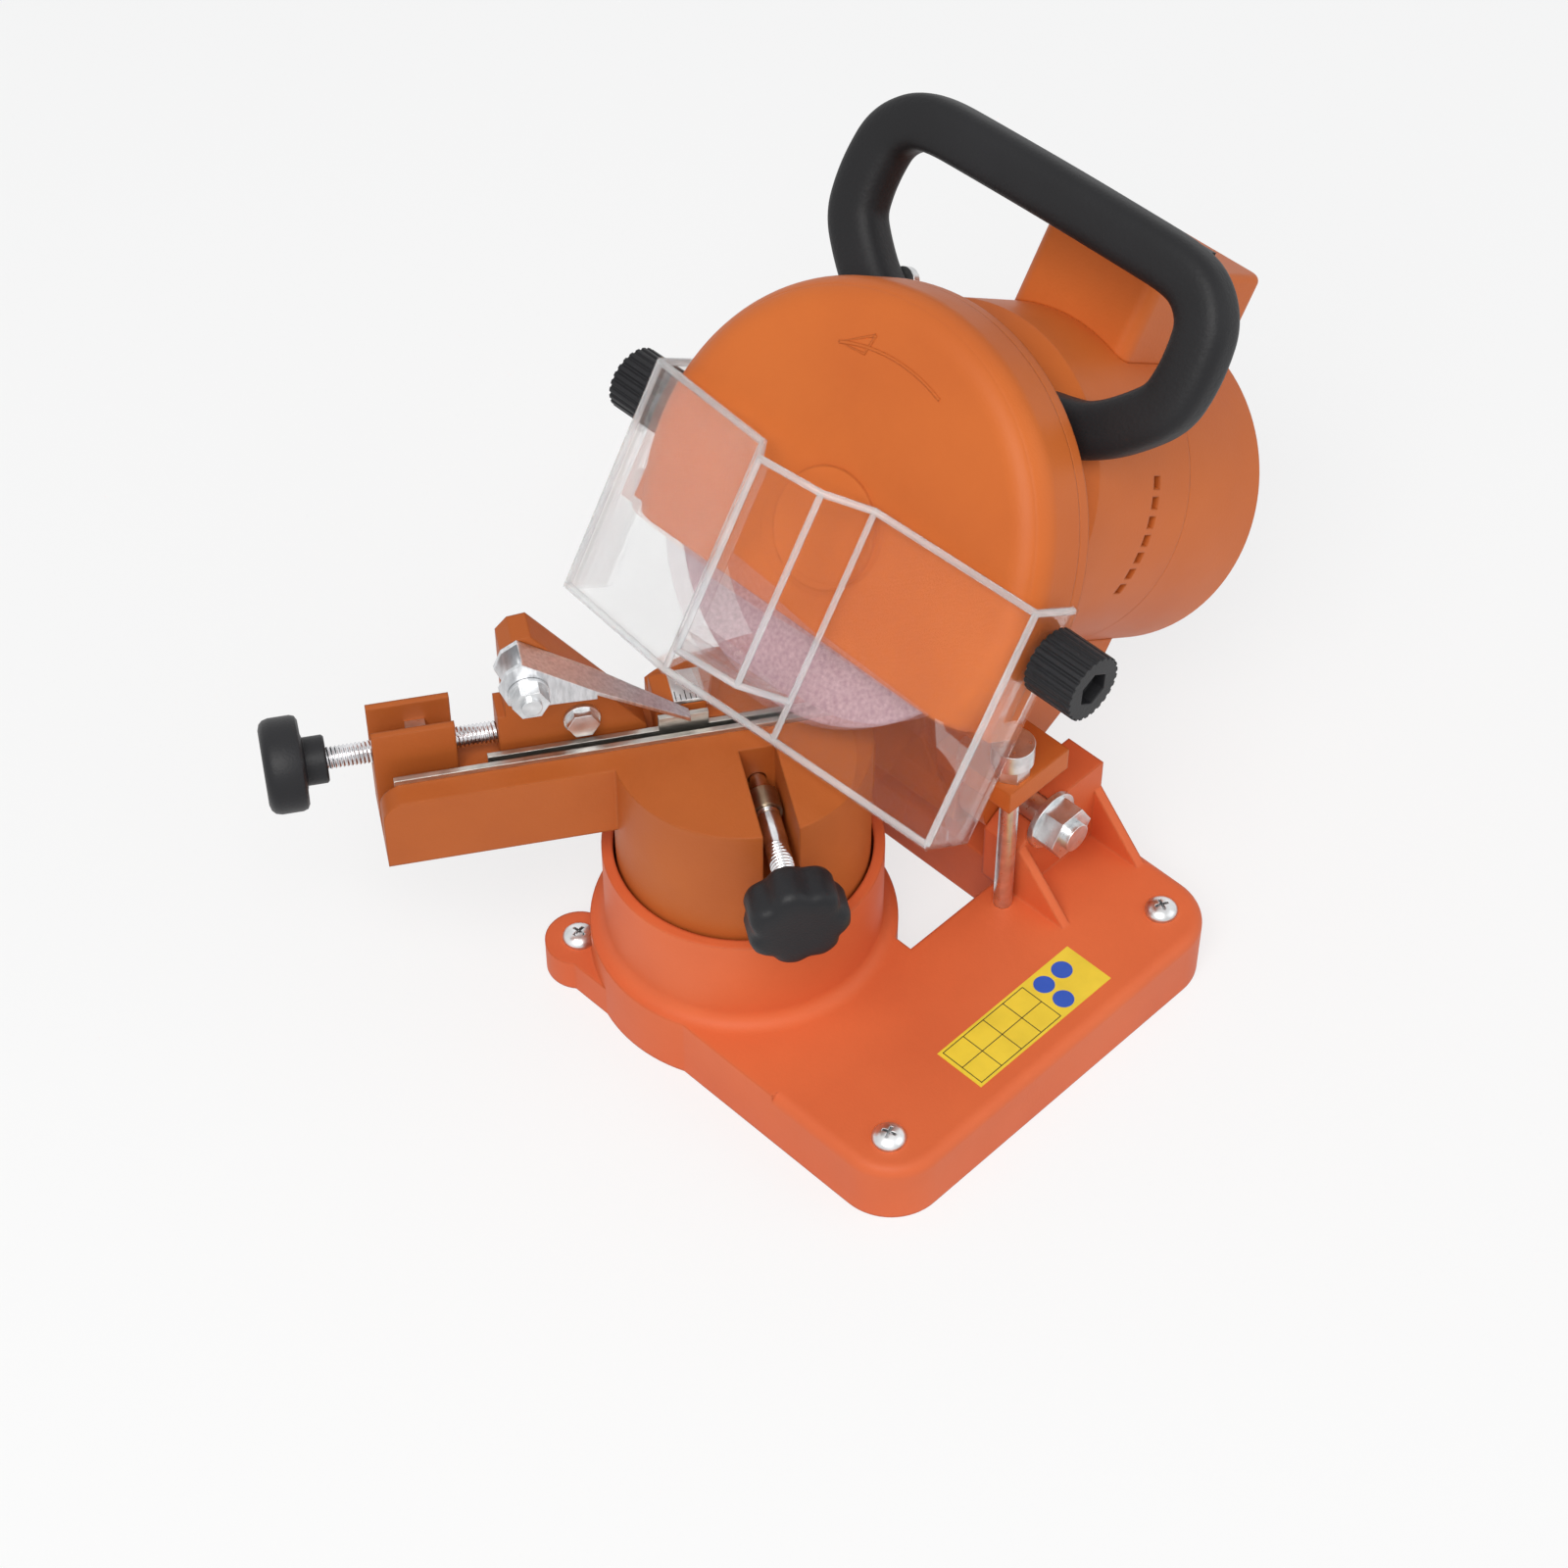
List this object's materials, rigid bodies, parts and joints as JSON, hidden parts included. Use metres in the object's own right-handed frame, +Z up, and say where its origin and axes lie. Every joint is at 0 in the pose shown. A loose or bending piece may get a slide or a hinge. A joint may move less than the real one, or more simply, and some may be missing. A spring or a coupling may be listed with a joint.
{
  "type": "chainsaw chain sharpener",
  "caption": "Bench-mounted electric sharpener for saw chain: a base with a swivelling chain vise and a tilting motor head with grinding wheel, guard, clear shield and loop handle.",
  "frame": {"origin": "centre of the front left bench hole, on the underside of the base, which is the bench surface", "axes": "+X to the right along the front of the base, from the vise to the motor; +Y away from the operator along the hinge; +Z up from the bench"},
  "size_m": [0.2706, 0.1732, 0.1984],
  "materials": {
    "base_orange": "semi-matt moulded",
    "vise_orange": "semi-matt moulded",
    "head_orange": "satin moulded",
    "black_plastic": "fine texture",
    "zinc_steel": "zinc plated",
    "bright_steel": "polished",
    "aluminium": "turned",
    "grit": "vitrified grit",
    "copper": "enamelled wire and bars",
    "laminations": "stacked sheet",
    "clear_plastic": "clear polycarbonate"
  },
  "bodies": {
    "bench_base": {"base": "base_orange", "hinge_bolt": "zinc_steel", "hinge_washers": "zinc_steel", "hinge_nut": "zinc_steel", "hinge_spring": "zinc_steel"},
    "vise": {"vise_body": "vise_orange", "front_rail": "zinc_steel", "scale_plate": "zinc_steel", "feed_nut": "zinc_steel", "pivot_stud": "zinc_steel", "lock_washer": "zinc_steel"},
    "jaw": {"jaw_plate": "zinc_steel"},
    "clamp": {"clamp_rod": "bright_steel", "clamp_collar": "zinc_steel", "clamp_knob": "black_plastic"},
    "stop": {"stop_block": "vise_orange", "guide_bolt": "zinc_steel", "stop_nut": "zinc_steel", "pawl_bolt": "zinc_steel"},
    "pawl": {"pawl": "zinc_steel"},
    "feed": {"feed_screw": "bright_steel", "feed_knob": "black_plastic"},
    "swivel_lock": {"lock_knob": "black_plastic"},
    "head": {"guard_cover": "head_orange", "guard_back": "head_orange", "guard_screws": "zinc_steel", "housing_front": "head_orange", "housing_rear": "head_orange", "cable_gland": "black_plastic", "switch_box": "head_orange", "switch_frame": "black_plastic", "arm": "head_orange", "knuckle": "head_orange", "handle": "black_plastic", "handle_screws": "zinc_steel", "shield_bolts": "zinc_steel", "bearings": "bright_steel", "stator": "laminations", "brush_holders": "copper", "stop_lug": "head_orange", "stop_screw_nut": "zinc_steel"},
    "spindle": {"shaft": "bright_steel", "armature": "laminations", "commutator": "copper", "fan": "black_plastic", "inner_flange": "aluminium", "outer_flange": "aluminium", "wheel_nut": "zinc_steel", "grinding_wheel": "grit"},
    "switch_rocker": {"rocker": "black_plastic"},
    "shield": {"shield": "clear_plastic"},
    "knob_left": {"shield_knob_left": "black_plastic"},
    "knob_right": {"shield_knob_right": "black_plastic"},
    "depth_stop": {"stop_screw": "zinc_steel"}
  },
  "joints": [
    {"name": "vise_swivel", "type": "hinge", "parent": "bench_base", "child": "vise", "pos_m": [0.026, 0.0765, 0.025], "axis": [0, 0, 1], "range_deg": [-2, 68]},
    {"name": "clamp_turn", "type": "hinge", "parent": "jaw", "child": "clamp", "pos_m": [0.00128, 0.03293, 0.074], "axis": [-0.5446, -0.8387, 0], "range_deg": [0, 433]},
    {"name": "jaw_slide", "type": "slide", "parent": "vise", "child": "jaw", "axis": [0.5446, 0.8387, 0], "range_m": [0, 0.0012]},
    {"name": "feed_turn", "type": "hinge", "parent": "stop", "child": "feed", "pos_m": [-0.01623, 0.12163, 0.086], "axis": [0.8387, -0.5446, 0], "range_deg": [-2881, 721]},
    {"name": "stop_slide", "type": "slide", "parent": "vise", "child": "stop", "axis": [0.8387, -0.5446, 0], "range_m": [-0.008, 0.002]},
    {"name": "pawl_lift", "type": "hinge", "parent": "stop", "child": "pawl", "pos_m": [-0.01387, 0.10966, 0.113], "axis": [-0.5446, -0.8387, 0], "range_deg": [0, 15]},
    {"name": "swivel_lock_turn", "type": "hinge", "parent": "vise", "child": "swivel_lock", "pos_m": [0.026, 0.0765, 0.013], "axis": [0, 0, -1], "range_deg": [0, 180]},
    {"name": "head_tilt", "type": "hinge", "parent": "bench_base", "child": "head", "pos_m": [0.091, 0.0765, 0.0405], "axis": [0, 1, 0], "range_deg": [0, 24]},
    {"name": "spindle_spin", "type": "hinge", "parent": "head", "child": "spindle", "pos_m": [0.06664, 0.0795, 0.1306], "axis": [0.8387, 0, -0.5446], "continuous": true},
    {"name": "switch_tilt", "type": "hinge", "parent": "head", "child": "switch_rocker", "pos_m": [0.18102, 0.081, 0.14516], "axis": [0, 1, 0], "range_deg": [-14, 0]},
    {"name": "shield_slide", "type": "slide", "parent": "head", "child": "shield", "axis": [0.5446, 0, 0.8387], "range_m": [0, 0.015]},
    {"name": "knob_left_turn", "type": "hinge", "parent": "head", "child": "knob_left", "pos_m": [0.0678, 0.1445, 0.12687], "axis": [0, 1, 0], "range_deg": [0, 180]},
    {"name": "knob_right_turn", "type": "hinge", "parent": "head", "child": "knob_right", "pos_m": [0.0678, 0.0145, 0.12687], "axis": [0, -1, 0], "range_deg": [0, 180]},
    {"name": "depth_stop_turn", "type": "hinge", "parent": "head", "child": "depth_stop", "pos_m": [0.076, 0.0315, 0.07], "axis": [0, 0, 1], "range_deg": [-180, 180]}
  ],
  "couplings": [
    {"joint": "clamp_turn", "follows": "jaw_slide", "rad_per_m": 6283.2},
    {"joint": "feed_turn", "follows": "stop_slide", "rad_per_m": 6283.2}
  ]
}
